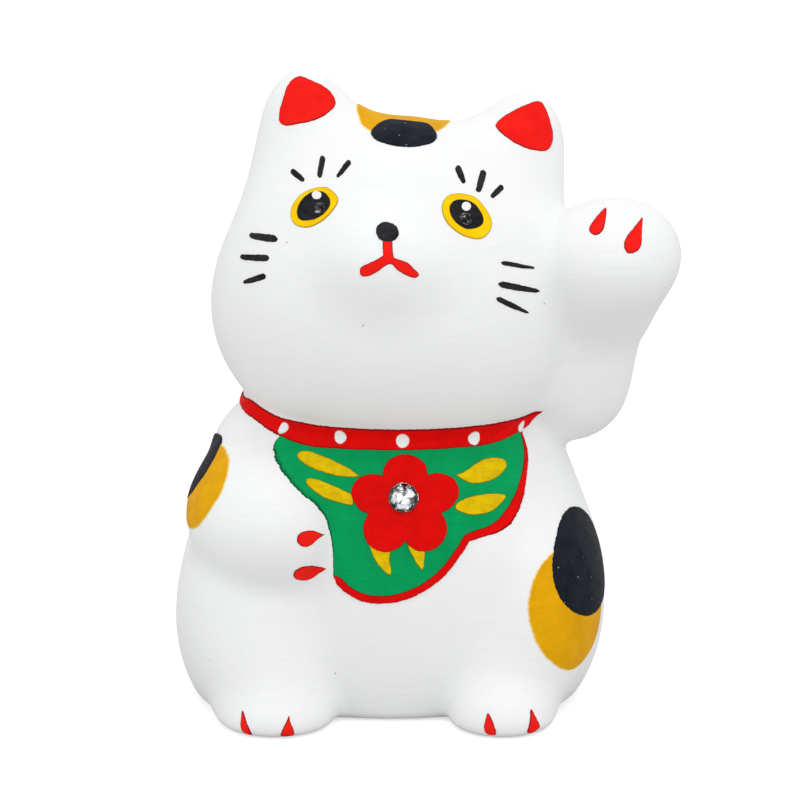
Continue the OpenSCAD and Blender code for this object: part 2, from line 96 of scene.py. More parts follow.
def lean_x(p, degrees):
    c, s = math.cos(math.radians(degrees)), math.sin(math.radians(degrees))
    x, y, z = p[..., 0], p[..., 1], p[..., 2]
    return np.stack((x, y * c + z * s, z * c - y * s), -1)


def head_form(p):
    q = lean_y(p - np.float32(HEAD), HEAD_ROLL)
    skull = ball(q, (-0.2, 0, 3.2), (27.8, 24.01, 26.2))
    cheeks = ball(q, (0.3, 0, -4.5), (29.2, 24.5, 21.6))
    muzzle = ball(q, (-2.6, -20.5, 8.3), (8.5, 7.2, 6.6))
    ears = [ball(lean_y(q - np.float32((side * 15.4, 2, 18.6)), side * 13), (0, 0, 0), (9.2, 7, 17))
            for side in (-1, 1)]
    return blend(blend(blend(skull, cheeks, 8), muzzle, 7), np.minimum(*ears), 7)


def torso_form(p):
    trunk = ball(p, (-0.4, AXIS_Y, 18), (33.8, 27, 43.4))
    right = blend(ball(p, (-22.2, -5, 13.8), (13.7, 21, 19.5)),
                  limb(p, (-22.5, -14.7, 19), (-19.8, -20, 6.5), 8.1, 9.0), 5)
    left = blend(ball(p, (22.2, -5, 17), (12.8, 21, 20.5)),
                 limb(p, (20.5, -14.7, 23), (18.6, -20, 6.5), 8.1, 8.2), 5)
    seated = blend(blend(trunk, left, 3.5), right, 3.5)
    footed = blend(seated, ball(p, (-18.8, -22.4, 1.4), (9.4, 10.2, 6.6)), 3)
    footed = blend(footed, ball(p, (17.6, -22.4, 1.4), (8.6, 10.2, 7.4)), 2.4)
    upper = limb(p, (-19.6, -2, 40), (-21.5, -9, 33), 10.15, 10.86)
    lower = ball(p, (-19.6, -13.6, 31), (12.6, 14.6, 11.8))
    tail = limb(p, (6, 26, 6), (15, 23, 15), 4, 4)
    return blend(blend(footed, blend(upper, lower, 6), 2.6), tail, 3)


def arm_form(p):
    paw = lean_x(lean_y(p - np.float32((35.2, -7.5, 74)), -8), 20)
    stem = limb(p, (28.8, 1, 52.3), (33, -2, 64), 10.3, 8.65)
    return blend(stem, ball(paw, (0, 0, 0), (11.5, 11.27, 9.2)), 9)


def cat_form(p):
    f = blend(blend(torso_form(p), head_form(p), 2.5), arm_form(p), 3)
    return -blend(-f, p[..., 2] - BASE_PROUD, FOOT_ROUND)


def casting_form(p):
    """The cat with its wall: hollow inside, and open below where the base plate sits."""
    f = cat_form(p)
    flat = np.hypot(p[..., 0] / WELL[0], (p[..., 1] - AXIS_Y) / WELL[1])
    well = np.maximum((flat - 1) * WELL[1], p[..., 2] - WELL_TOP)
    hollow = np.maximum(f + WALL, WELL_TOP - p[..., 2] - HOLLOW_LAP)
    return np.maximum(f, -np.minimum(well, hollow))


def slope(form, p, step=0.12):
    shifts = np.eye(3, dtype=np.float32) * step
    g = np.stack([form(p + s) - form(p - s) for s in shifts], -1)
    return g / np.maximum(np.linalg.norm(g, axis=-1, keepdims=True), 1e-9)


# ---------------------------------------------------------------- fit to the CAD box
def casting_box():
    lows, highs = zip(*(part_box(n) for n in CASTINGS))
    return np.min(lows, 0) / MM, np.max(highs, 0) / MM


class Fit:
    """The tiny stretch that lands the smooth skin exactly on the castings' box."""

    scale, shift = np.ones(3), np.zeros(3)

    def measure(self, points):
        low, high = casting_box()
        self.scale = (high - low) / (points.max(0) - points.min(0))
        self.shift = low - points.min(0) * self.scale

    def metres(self, points):
        return (np.asarray(points, float) * self.scale + self.shift) * MM


fit = Fit()


# ---------------------------------------------------------------- meshes
def make_piece(name, verts, faces, material, nodes, smooth=True):
    mesh = bpy.data.meshes.new(name)
    mesh.from_pydata([tuple(v) for v in verts], [], [tuple(f) for f in faces])
    mesh.update()
    piece = bpy.data.objects.new(name, mesh)
    bpy.context.scene.collection.objects.link(piece)
    bm = bmesh.new()
    bm.from_mesh(mesh)
    bmesh.ops.recalc_face_normals(bm, faces=bm.faces)
    bm.to_mesh(mesh)
    bm.free()
    mesh.polygons.foreach_set("use_smooth", [smooth] * len(mesh.polygons))
    mesh.materials.append(material)
    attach(piece, "root")
    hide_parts(*nodes)
    return piece


SKIN_CELL = 0.6
COARSER = 4  # the first, rough grid's cell, in cells of the fine one
BATCH = 400000
SETTLE_PASSES, SETTLE_MOST, SETTLE_SHARE = 3, 0.2, 0.9


def skin_mesh(cell):
    """Vertices (mm) and quads of the casting on a grid of that cell size."""
    low, high = np.float32((-40, -38, -2)), np.float32((52, 36, 108))
    coarse = cell * COARSER
    steps = np.ceil((high - low) / coarse).astype(int)

    def grid(n, size):
        axes = [low[i] + np.arange(n[i], dtype=np.float32) * np.float32(size) for i in range(3)]
        return np.stack(np.meshgrid(*axes, indexing="ij"), -1)

    rough = casting_form(grid(steps + 1, coarse))
    near = np.abs(rough) < coarse * 1.9
    cells = np.zeros(steps, bool)
    for dx in (0, 1):
        for dy in (0, 1):
            for dz in (0, 1):
                cells |= near[dx:dx + steps[0], dy:dy + steps[1], dz:dz + steps[2]]
    fine = np.kron(rough[:-1, :-1, :-1], np.ones((COARSER,) * 3, np.float32))
    fine = np.sign(fine) * coarse
    where = np.kron(cells, np.ones((COARSER,) * 3, bool))
    spots = np.argwhere(where)
    values = np.empty(len(spots), np.float32)
    for start in range(0, len(spots), BATCH):
        part = spots[start:start + BATCH]
        values[start:start + BATCH] = casting_form(low + part.astype(np.float32) * np.float32(cell))
    fine[where] = values
    volume = openvdb.FloatGrid()
    volume.copyFromArray(fine.astype(np.float32))
    points, _, quads = volume.convertToPolygons(0.0, 0.0)
    points = low + points.astype(np.float32) * cell
    for _ in range(SETTLE_PASSES):
        n = slope(casting_form, points)
        points -= n * np.clip(casting_form(points), -SETTLE_MOST, SETTLE_MOST)[:, None] * SETTLE_SHARE
    return points, quads


# ---------------------------------------------------------------- places on the skin
# What a degree counts for in an outline: close to the millimetres that it spans on the skin
ROUND_SCALE = 0.5
CROWN_SCALE = 0.5
HALVINGS = 22


def hit(start, direction, reach):
    """Where each ray leaves the cat, which it does within the reach."""
    near = np.zeros(len(start), np.float32)
    far = np.full(len(start), reach, np.float32)
    for _ in range(HALVINGS):
        middle = (near + far) / 2
        outside = cat_form(start + direction * middle[:, None]) > 0
        far = np.where(outside, middle, far)
        near = np.where(outside, near, middle)
    return start + direction * near[:, None]


def columns(*values):
    size = max(np.size(v) for v in values)
    return np.stack([np.broadcast_to(np.asarray(v, np.float32), size) for v in values], -1)


def round_body(uv):
    """Azimuth from the front, times ROUND_SCALE, and height."""
    a, z = np.radians(uv[:, 0] / ROUND_SCALE), uv[:, 1]
    return hit(columns(0, AXIS_Y * (1 - z / HEAD[2]), z), columns(np.sin(a), -np.cos(a), 0), 56)


def on_face(uv):
    """Across and above the head's middle, looking at the face."""
    start = lean_y(columns(uv[:, 0], 0, uv[:, 1]), -HEAD_ROLL) + np.float32(HEAD)
    return hit(start, columns(0, np.full(len(uv), -1), 0), 40)


def on_front(uv):
    return hit(columns(uv[:, 0], -2, uv[:, 1]), columns(0, np.full(len(uv), -1), 0), 50)


def on_paw(uv):
    return hit(columns(uv[:, 0], -6, uv[:, 1]), columns(0, np.full(len(uv), -1), 0), 24)


def on_crown(uv):
    """Angles to the side of the crown and back over it, times CROWN_SCALE."""
    side, back = np.radians(uv[:, 0] / CROWN_SCALE), np.radians(uv[:, 1] / CROWN_SCALE)
    ray = columns(np.sin(side), np.sin(back) * np.cos(side), np.cos(back) * np.cos(side))
    return hit(np.broadcast_to(np.float32(HEAD), ray.shape), lean_y(ray, -HEAD_ROLL), 45)


# ---------------------------------------------------------------- outlines
OUTLINE_STEP = 0.16
STROKE_SWELL = 0.15


def oval(centre, length, width, tilt=0.0, n=64):
    a = np.linspace(0, 2 * math.pi, n, endpoint=False)
    x, y = np.cos(a) * length / 2, np.sin(a) * width / 2
    c, s = math.cos(math.radians(tilt)), math.sin(math.radians(tilt))
    return np.stack((x * c - y * s, x * s + y * c), -1) + centre


def curve(points, n=8, closed=False):
    """Smooth curve through the points; open ones keep their ends."""
    p = np.asarray(points, float)
    m = len(p)
    t = np.arange(n)[:, None] / n
    out = []
    for i in range(m if closed else m - 1):
        a, b, c, d = (p[j % m] if closed else p[min(max(j, 0), m - 1)] for j in range(i - 1, i + 3))
        square, cube = 2 * a - 5 * b + 4 * c - d, 3 * b - a - 3 * c + d
        out.append(b + ((c - a) * t + square * t**2 + cube * t**3) / 2)
    if not closed:
        out.append(p[-1:])
    return np.concatenate(out)


def stroke(a, b, width, tip):
    """Brush stroke from a to b: round where it starts, drawn out where it ends."""
    a, b = np.asarray(a, float), np.asarray(b, float)
    along = (b - a) / np.linalg.norm(b - a)
    across = np.array((-along[1], along[0]))
    t = np.linspace(0, 1, 16)
    line = a + (b - a) * t[:, None]
    half = width / 2 * (1 - (1 - tip) * t**1.5 + STROKE_SWELL * np.sin(math.pi * t))
    half *= np.sqrt(np.clip(1 - np.clip(1 - t / 0.12, 0, 1) ** 2, 0, 1)) * 0.9 + 0.1
    half *= np.sqrt(np.clip(1 - np.clip(1 - (1 - t) / 0.1, 0, 1) ** 2, 0, 1)) * 0.85 + 0.15
    return np.concatenate((line - across * half[:, None], (line + across * half[:, None])[::-1]))


def resample(p, step):
    closed = np.concatenate((p, p[:1]))
    length = np.concatenate(([0], np.cumsum(np.linalg.norm(np.diff(closed, axis=0), axis=1))))
    n = max(12, int(round(length[-1] / step)))
    s = np.arange(n) * length[-1] / n
    return np.stack([np.interp(s, length, closed[:, i]) for i in (0, 1)], -1), s


def normals_2d(p):
    d = np.roll(p, -1, 0) - np.roll(p, 1, 0)
    d /= np.maximum(np.linalg.norm(d, axis=1, keepdims=True), 1e-9)
    return np.stack((d[:, 1], -d[:, 0]), -1)


def hand_drawn(p, amount, seed):
    """The outline, counter-clockwise seen from outside, with the small unevenness of a brush."""
    x, y = p.T
    if (x * np.roll(y, -1) - np.roll(x, -1) * y).sum() < 0:
        p = p[::-1]
    p, s = resample(p, OUTLINE_STEP)
    rng = np.random.default_rng(seed)
    wander = 0
    for size in (7.0, 3.1, 1.6, 0.9):
        waves = max(1, round(s[-1] / size))
        strength, phase = rng.uniform(0.4, 1), rng.uniform(0, 6.3)
        wander = wander + strength * np.sin(2 * math.pi * s / s[-1] * waves + phase)
    return p + normals_2d(p) * (wander * amount / 2.2)[:, None]


def distance(points, outline):
    """Distance of each point to the closed outline."""
    a, b = outline, np.roll(outline, -1, 0)
    ab = b - a
    size = np.maximum((ab * ab).sum(1), 1e-12)
    out = np.empty(len(points))
    for start in range(0, len(points), 4000):
        d = points[start:start + 4000, None, :] - a
        t = np.clip((d * ab).sum(-1) / size, 0, 1)
        d -= t[..., None] * ab
        out[start:start + 4000] = np.sqrt((d * d).sum(-1).min(1))
    return out


def inside(points, outline):
    a, b = outline, np.roll(outline, -1, 0)
    odd = np.zeros(len(points), bool)
    for (ax, ay), (bx, by) in zip(a, b):
        crosses = (ay > points[:, 1]) != (by > points[:, 1])
        if crosses.any():
            odd ^= crosses & (points[:, 0] < ax + (points[:, 1] - ay) * (bx - ax) / ((by - ay) or 1e-12))
    return odd


# ---------------------------------------------------------------- coats of enamel
EMBED = 0.05  # how far a coat reaches under the skin
EDGE_HEIGHT = 0.03  # how high it stands right at its edge
RINGS = (0.06, 0.14, 0.26)  # where extra points follow the edge, so that its lip comes out round
RING_STEP = 0.12


def film(outline, place, thick, rim, pitch):
    """Closed coat on the skin: vertices in mm, faces, and each vertex's distance from the edge."""
    low, high = outline.min(0), outline.max(0)
    gx, gy = np.meshgrid(np.arange(low[0], high[0], pitch), np.arange(low[1], high[1], pitch * 0.866))
    gx[1::2] += pitch / 2
    inner = np.stack((gx.ravel(), gy.ravel()), -1)
    inner = inner[inside(inner, outline)]
    inner = inner[distance(inner, outline) > RINGS[-1] + pitch * 0.5] if len(inner) else inner
    loops = [inner]
    n = normals_2d(outline)
    for ring in RINGS:
        step = max(1, int(ring / RING_STEP))
        loop = (outline - n * ring)[::step]
        loops.append(loop[(distance(loop, outline) > ring * 0.93) & inside(loop, outline)])
    flat = np.concatenate([outline] + loops)
    count = len(outline)
    edges = [(i, (i + 1) % count) for i in range(count)]
    spots, _, triangles, *_ = delaunay_2d_cdt(
        [Vector(p) for p in flat], edges, [list(range(count))], 1, 1e-5)
    spots = np.array([tuple(p) for p in spots])
    edge = distance(spots, outline)
    edge[edge < 1e-3] = 0
    skin = place(spots.astype(np.float32))
    n = slope(cat_form, skin)
    lip = np.sqrt(np.clip(1 - (1 - np.clip(edge / rim, 0, 1)) ** 2, 0, 1))
    top = skin + n * (EDGE_HEIGHT + (thick - EDGE_HEIGHT) * lip)[:, None]
    m = len(spots)
    rims = dict.fromkeys((t[i], t[(i + 1) % 3]) for t in triangles for i in range(3))
    border = [(a, b) for a, b in rims if (b, a) not in rims]
    faces = [tuple(t) for t in triangles]
    faces += [(t[2] + m, t[1] + m, t[0] + m) for t in triangles]
    faces += [(b, a, a + m, b + m) for a, b in border]
    return np.concatenate((top, skin - n * EMBED)), faces, np.concatenate((edge, edge * 0))


def coat(name, material, marks, thick=0.12, rim=0.14, pitch=0.6, uneven=0.05):
    """One piece of enamel, made of several marks: each is its place on the skin and its outline."""
    verts, faces, edges = [], [], []
    total = 0
    for seed, (place, outline) in enumerate(marks):
        v, f, e = film(hand_drawn(outline, uneven, seed + len(name)), place, thick, rim, pitch)
        verts.append(fit.metres(v))
        faces += [tuple(i + total for i in face) for face in f]
        edges.append(e)
        total += len(v)
    piece = make_piece(name, np.concatenate(verts), faces, material, [name])
    spread = piece.data.attributes.new("from_edge", "FLOAT", "POINT")
    spread.data.foreach_set("value", np.concatenate(edges).astype(np.float32))
    return piece


def drawn(place, outlines):
    """Marks at that place on the skin, each a closed curve through its outline's points."""
    return [(place, curve(points, closed=True)) for points in outlines]


# ---------------------------------------------------------------- materials
class Shade:
    """A material's node tree, built a node at a time."""

    def __init__(self, name):
        self.material = bpy.data.materials.new(name)
        self.material.use_nodes = True
        self.tree = self.material.node_tree
        self.surface = self.tree.nodes["Principled BSDF"]
        place = self.add("TexCoord")
        self.object = place.outputs["Object"]

    def add(self, kind, **values):
        node = self.tree.nodes.new("ShaderNode" + kind)
        for key, value in values.items():
            setattr(node, key, value)
        return node

    def feed(self, socket, value):
        """Give an input the value, or link it where the value is another node's output."""
        if isinstance(value, bpy.types.NodeSocket):
            self.tree.links.new(value, socket)
        else:
            socket.default_value = value

    def set(self, node, **values):
        for key, value in values.items():
            self.feed(node.inputs[key.replace("_", " ")], value)
        return node

    def stretch(self, x, y, z):
        """Object coordinates with that many cycles to a millimetre along each axis."""
        node = self.add("Mapping")
        self.tree.links.new(self.object, node.inputs["Vector"])
        node.inputs["Scale"].default_value = (x / MM, y / MM, z / MM)
        return node.outputs["Vector"]

    def noise(self, vector, detail=3.0, rough=0.5, distortion=0.0):
        node = self.add("TexNoise")
        self.set(node, Vector=vector, Scale=1.0, Detail=detail, Roughness=rough, Distortion=distortion)
        return node.outputs["Fac"]

    def specks(self, vector, size):
        """1 in small spots, one at most in each cell, and 0 elsewhere."""
        node = self.add("TexVoronoi")
        self.set(node, Vector=vector, Scale=1.0, Randomness=1.0)
        spot = self.ramp(node.outputs["Distance"], size, size * 0.55)
        some = self.ramp(self.channel(node.outputs["Color"]), 0.72, 0.8)
        return self.times(spot, some)

    def channel(self, colour):
        node = self.add("SeparateColor")
        self.tree.links.new(colour, node.inputs[0])
        return node.outputs[0]

    def ramp(self, value, start, end, low=0.0, high=1.0):
        node = self.add("MapRange", clamp=True)
        self.tree.links.new(value, node.inputs["Value"])
        for key, number in (("From Min", start), ("From Max", end), ("To Min", low), ("To Max", high)):
            node.inputs[key].default_value = number
        return node.outputs["Result"]

    def math(self, operation, a, b):
        node = self.add("Math", operation=operation)
        for socket, value in zip(node.inputs, (a, b)):
            self.feed(socket, value)
        return node.outputs[0]

    def times(self, a, b):
        return self.math("MULTIPLY", a, b)

    def plus(self, a, b):
        return self.math("ADD", a, b)

    def mix(self, share, a, b):
        node = self.add("Mix", data_type="RGBA")
        for socket, value in ((node.inputs[0], share), (node.inputs[6], a), (node.inputs[7], b)):
            self.feed(socket, (*value, 1) if isinstance(value, tuple) else value)
        return node.outputs[2]

    def from_edge(self):
        return self.add("Attribute", attribute_name="from_edge").outputs["Fac"]

    def bump(self, height, strength, depth):
        """Bump whose height of 1 is that many millimetres."""
        node = self.add("Bump")
        self.tree.links.new(height, node.inputs["Height"])
        node.inputs["Strength"].default_value = strength
        node.inputs["Distance"].default_value = depth * MM
        self.tree.links.new(node.outputs["Normal"], self.surface.inputs["Normal"])


def body_paint():
    """Matt white over clay, laid with a wide brush held level."""
    s = Shade("white_enamel")
    brush = s.noise(s.stretch(0.14, 0.14, 3.6), 5, 0.65, 0.15)
    cloud = s.noise(s.stretch(0.05, 0.05, 0.07), 3, 0.5)
    grain = s.noise(s.stretch(7, 7, 9), 2, 0.6)
    colour = s.mix(s.ramp(cloud, 0.3, 0.7), (0.872, 0.88, 0.88), (0.892, 0.9, 0.9))
    colour = s.mix(s.ramp(brush, 0.35, 0.75, 0.0, 0.6), colour, (0.83, 0.843, 0.845))
    colour = s.mix(s.times(s.specks(s.stretch(0.24, 0.24, 0.24), 0.05), 0.8), colour, (0.28, 0.3, 0.3))
    s.set(s.surface, Base_Color=colour, Roughness=s.ramp(brush, 0.3, 0.7, 0.5, 0.66))
    s.surface.inputs["Specular IOR Level"].default_value = 0.15
    s.bump(s.plus(s.times(brush, 0.9), s.times(grain, 0.35)), 0.8, 0.06)
    return s.material


def enamel(name, colour, deep, edge=None, streak=(0.4, 0.4, 4.5), patch=0.35, spots=None, edge_width=0.2):
    """A coat of colour: streaked, a little thin in patches, and darker or paler at its edge."""
    s = Shade(name)
    brush = s.noise(s.stretch(*streak), 4, 0.6, 0.15)
    cloud = s.noise(s.stretch(patch, patch, patch), 3, 0.55, 0.4)
    grain = s.noise(s.stretch(6, 6, 6), 2, 0.6)
    base = s.mix(s.ramp(cloud, 0.35, 0.7), colour, deep)
    base = s.mix(s.ramp(brush, 0.45, 0.75, 0.0, 0.8), base, deep)
    if edge:
        wander = s.plus(s.from_edge(), s.times(s.plus(grain, -0.5), 0.06))
        base = s.mix(s.ramp(wander, 0.05, edge_width, 1.0, 0.0), base, edge)
    if spots:
        base = s.mix(s.times(s.specks(s.stretch(0.9, 0.9, 0.9), 0.15), 0.8), base, spots)
    s.set(s.surface, Base_Color=base, Roughness=s.ramp(brush, 0.3, 0.7, 0.42, 0.6))
    s.surface.inputs["Specular IOR Level"].default_value = 0.04
    s.bump(s.plus(s.times(brush, 0.9), s.times(grain, 0.35)), 0.7, 0.05)
    return s.material


def glass(name, tint):
    s = Shade(name)
    dust = s.noise(s.stretch(2.5, 2.5, 2.5), 3, 0.6)
    dusty = tuple(c * 0.85 for c in tint)
    s.set(s.surface, Base_Color=s.mix(s.ramp(dust, 0.4, 0.8, 0.0, 0.25), tint, dusty),
          Roughness=s.ramp(dust, 0.3, 0.9, 0.0, 0.05))
    s.surface.inputs["Transmission Weight"].default_value = 1.0
    s.surface.inputs["IOR"].default_value = 1.56
    return s.material


def cut_stone(name, dark, bright, rough, specular, metal=0.0):
    """Cut surface whose facets each get their own painted brightness: a painted reflection in place of the
    light each would throw back.
    """
    s = Shade(name)
    wear_and_glint = s.noise(s.stretch(2.2, 2.2, 2.2), 3, 0.6)
    # Painted reflection: each facet's stored brightness picks its colour between dark and bright, nudged a
    # little by the wear noise.
    tone = s.add("Attribute", attribute_name="tone").outputs["Fac"]
    tone = s.plus(tone, s.ramp(wear_and_glint, 0.3, 0.7, -0.08, 0.08))
    s.set(s.surface, Base_Color=s.mix(s.ramp(tone, 0.0, 1.0), dark, bright),
          Roughness=s.ramp(wear_and_glint, 0.3, 0.8, *rough))
    s.surface.inputs["Specular IOR Level"].default_value = specular
    s.surface.inputs["Metallic"].default_value = metal
    s.bump(wear_and_glint, 0.3, 0.02)
    return s.material


def bisque(name):
    """The plate's unpainted clay."""
    s = Shade(name)
    cloud = s.noise(s.stretch(0.12, 0.12, 0.12), 4, 0.6)
    grain = s.noise(s.stretch(4, 4, 4), 4, 0.65)
    colour = s.mix(s.ramp(cloud, 0.35, 0.7), (0.8, 0.78, 0.73), (0.7, 0.67, 0.61))
    colour = s.mix(s.times(s.specks(s.stretch(0.6, 0.6, 0.6), 0.08), 0.7), colour, (0.3, 0.26, 0.2))
    s.set(s.surface, Base_Color=colour, Roughness=s.ramp(grain, 0.3, 0.7, 0.7, 0.9))
    s.bump(grain, 0.6, 0.08)
    return s.material


RED, RED_DEEP, RED_EDGE = (0.8, 0.003, 0.002), (0.68, 0.002, 0.002), (0.26, 0.002, 0.002)
EAR_RED, EAR_DEEP = (0.93, 0.016, 0.01), (0.84, 0.01, 0.008)
GREEN, GREEN_DEEP, GREEN_EDGE = (0.001, 0.36, 0.11), (0.001, 0.29, 0.085), (0.001, 0.11, 0.035)
LEAF, LEAF_DEEP, LEAF_EDGE = (0.84, 0.58, 0.001), (0.62, 0.41, 0.002), (0.1, 0.12, 0.005)
IRIS, IRIS_DEEP, IRIS_EDGE = (1.0, 0.66, 0.003), (0.92, 0.53, 0.002), (0.4, 0.27, 0.01)
OCHRE, OCHRE_DEEP, OCHRE_EDGE = (0.82, 0.41, 0.002), (0.7, 0.34, 0.002), (0.9, 0.72, 0.36)
BLACK, BLACK_DEEP = (0.009, 0.009, 0.011), (0.028, 0.029, 0.032)
PUPIL_EDGE = (0.09, 0.022, 0.004)
FLANK_BLACK, FLANK_DEEP = (0.005, 0.007, 0.012), (0.016, 0.019, 0.028)
WHITE, WHITE_DEEP, WHITE_EDGE = (0.9, 0.9, 0.89), (0.82, 0.82, 0.82), (0.55, 0.2, 0.18)

# ---------------------------------------------------------------- the casting
points, quads = skin_mesh(SKIN_CELL)
fit.measure(points)
casting = make_piece("casting", fit.metres(points), quads, body_paint(), CASTINGS)
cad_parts["base_plate"].data.materials.clear()
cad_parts["base_plate"].data.materials.append(bisque("plate_clay"))


# ---------------------------------------------------------------- collar and bib
COLLAR_Z, COLLAR_W = 48.0, 3.6


def ease(t):
    t = np.clip(t, 0, 1)
    return t * t * (3 - 2 * t)


def collar_base(az):
    """The collar's lower edge, level at the throat and higher round the sides."""
    left = 4.6 * ease((-az - 34) / 55) - 1.6 * ease((-az - 110) / 110)
    return COLLAR_Z - COLLAR_W + np.where(az < 0, left, 3 * ease((az - 40) / 50))


def collar_low(az):
    """The same edge with its right end drawn up."""
    return collar_base(az) + 0.5 * COLLAR_W * ease((az - 68.2) / 3.6)


def collar_top(az):
    side = 0.37 * ease((-az - 38) / 24) + 0.3 * ease((-az - 70) / 14) * (1 - ease((-az - 100) / 40))
    narrower = np.where(az < 0, side, 0.73 * ease((az - 40) / 50))
    return collar_base(az) + COLLAR_W * (1 - narrower) + 0.12 * COLLAR_W * ease((az - 64) / 6)


def around(az, z):
    """Outline points on the body from azimuths in degrees and heights."""
    return np.stack((np.asarray(az, float) * ROUND_SCALE, np.broadcast_to(z, np.shape(az))), -1)


LEFT_EDGE = curve([
    (-52, 45.9), (-51.9, 45), (-49.6, 44), (-45.5, 43), (-41.1, 41.9), (-36.2, 40.4), (-32.1, 38.9),
    (-27.1, 36.7), (-23.4, 33.9), (-21.6, 30.5), (-21.1, 27.2), (-21, 24.7)])
LOWER_EDGE = curve([
    (-21, 24.7), (-18.6, 24.4), (-15.3, 23.1), (-10.7, 22), (-5.2, 21.6), (1.6, 21.9), (9.7, 23.3),
    (17.4, 25.8), (24, 29.2), (27, 30.9), (30.4, 31.4), (37.6, 32.4), (44.8, 34.8), (52.9, 38.3),
    (59.6, 42.3), (61.6, 44), (63, 46)])
span = np.append(np.arange(-238, 67, 2), (67.2, 68.2, 69, 69.7, 70.2))
collar_line = np.concatenate((around(span, collar_low(span)), around(span[::-1], collar_top(span[::-1]))))
under_collar = np.arange(62, -52, -2.0)
bib_line = np.concatenate((around(*LEFT_EDGE.T), around(*LOWER_EDGE[1:].T),
                           around(under_collar, collar_low(under_collar) + 0.35)))
lower_line = around(*LOWER_EDGE.T)
outward = normals_2d(lower_line)
outward[0], outward[-1] = outward[1], outward[-2]
runs = np.linspace(0, 1, len(lower_line))[:, None]
piping_width = 1.2 * ease(runs / 0.06) - 0.7 * ease((runs - 0.72) / 0.28)
piping_line = np.concatenate((lower_line + outward * piping_width, (lower_line - outward * 0.12)[::-1]))

coat("bib", enamel("green_enamel", GREEN, GREEN_DEEP, GREEN_EDGE, patch=0.2), [(round_body, bib_line)])
coat("bib_piping", enamel("piping_red", RED, RED_DEEP, RED_EDGE), [(round_body, piping_line)],
     thick=0.2, pitch=0.3)
coat("collar", enamel("collar_red", RED, RED_DEEP, RED_EDGE, streak=(0.25, 0.25, 3.0)),
     [(round_body, collar_line)], thick=0.38, rim=0.35)
# Each dot: azimuth in degrees, height of its middle, width, height and tilt
DOTS = [(-51.9, 46.8, 2.3, 2.3, 0), (-24.4, 46.4, 3, 2.7, 0), (4.7, 46.1, 3.3, 2.9, 0),
        (37.8, 45.9, 3, 2.8, 0), (62.4, 46.55, 1.7, 2.5, -28)]
coat("collar_dots", enamel("dot_white", WHITE, WHITE_DEEP, WHITE_EDGE),
     [(round_body, oval((az * ROUND_SCALE, z), wide, tall, tilt)) for az, z, wide, tall, tilt in DOTS],
     thick=0.5, pitch=0.3)

# Flower, and the leaves round it
FLOWER = np.array((2.0, 36.6))


def foreshorten(p):
    """The throat slopes back above the flower's middle, so what lies there looks shorter."""
    p = np.asarray(p, float)
    return FLOWER + p * np.stack((np.ones(len(p)), np.where(p[:, 1] > 0, 0.81, 1)), -1)


def petals(reach=5.3, width=7.2):
    a = np.linspace(0, 360, 180, endpoint=False)
    b = np.radians((a + 18) % 72 - 36)
    far = reach * np.cos(b) + np.sqrt((width / 2) ** 2 - (reach * np.sin(b)) ** 2)
    return foreshorten(np.stack((np.cos(np.radians(a)) * far, np.sin(np.radians(a)) * far), -1))


LEAVES = [
    [(-15.3, 42.8), (-15, 43.6), (-13.4, 43.8), (-10.9, 43.2), (-7.3, 41.8), (-5.1, 40.5), (-5.1, 40.45),
     (-6.8, 40.2), (-10.2, 40.5), (-13.3, 41.4)],
    [(-14, 39.6), (-13.4, 40.1), (-11.1, 39.5), (-7.4, 38.1), (-6.4, 37.5), (-6.3, 36), (-7.9, 36.1),
     (-10.6, 36.9), (-12.8, 38.3)],
    [(9.9, 40.5), (9.9, 40.45), (11.6, 39.3), (13.2, 38.8), (15.2, 38.9), (16.8, 39.4), (18, 40.3),
     (18.4, 41.3), (17.8, 42.1), (16.2, 42.5), (14.2, 42.3), (11.3, 40.8)],
    [(10, 35.2), (12, 34.2), (14.5, 34), (16.1, 34.4), (17.5, 35.4), (18.2, 36.5), (16.5, 37.1),
     (13.6, 37.1), (10.6, 36.4)],
    [(-3.8, 31.9), (-3.9, 30.4), (-3.4, 28.6), (-2.4, 26.8), (-1.3, 25.6), (-0.4, 25.1), (-0.1, 26),
     (-0.4, 27.4), (-0.6, 30)],
    [(2.4, 30), (3.4, 27.6), (4.2, 26.3), (4.85, 25.6), (4.9, 25.6), (5.1, 27), (5, 29.6)]]
coat("bib_leaves", enamel("leaf_yellow", LEAF, LEAF_DEEP, LEAF_EDGE, patch=0.5),
     drawn(on_front, LEAVES), thick=0.22, pitch=0.4)
coat("bib_flower", enamel("flower_red", RED, RED_DEEP, RED_EDGE, patch=0.4), [(on_front, petals())],
     thick=0.34)

# ---------------------------------------------------------------- face
IRISES = [
    [(-12.7, 18.8), (-11.2, 17.9), (-11, 17), (-11.7, 15.6), (-13.2, 13.9), (-15, 12.7), (-16.7, 12.4),
     (-17.9, 13), (-18.3, 14.1), (-18.1, 15.3), (-17.1, 17), (-15.4, 18.2), (-14, 18.7)],
    [(8.9, 20.2), (10.6, 19.8), (12.3, 18.4), (13.5, 16.7), (13.6, 15.2), (12.6, 14), (11.1, 13.7),
     (8.6, 14.4), (6.6, 15.8), (5.6, 17.3), (5.5, 18.7), (6.2, 19.8), (7.4, 20.2)]]
PUPILS = [
    [(-13.4, 18.1), (-12.3, 17.4), (-12.1, 16.4), (-12.8, 15.1), (-14, 14.1), (-15.9, 13.4),
     (-16.9, 13.6), (-17.3, 14.8), (-16.7, 16.4), (-15.2, 17.8)],
    [(8.3, 19.4), (9.8, 19.2), (11.1, 18.4), (12.1, 17.1), (12.2, 16), (11.3, 15.3), (9.6, 15.1),
     (7.9, 15.9), (6.8, 17.2), (6.6, 18.3), (7.2, 19.1)]]
STONES = [(-13.7, 15.6), (9.3, 16.5)]
GLINTS = [oval((-14.4, 17.4), 1.65, 1.3, 12), oval((9.25, 18.35), 1.6, 1.4, -15)]
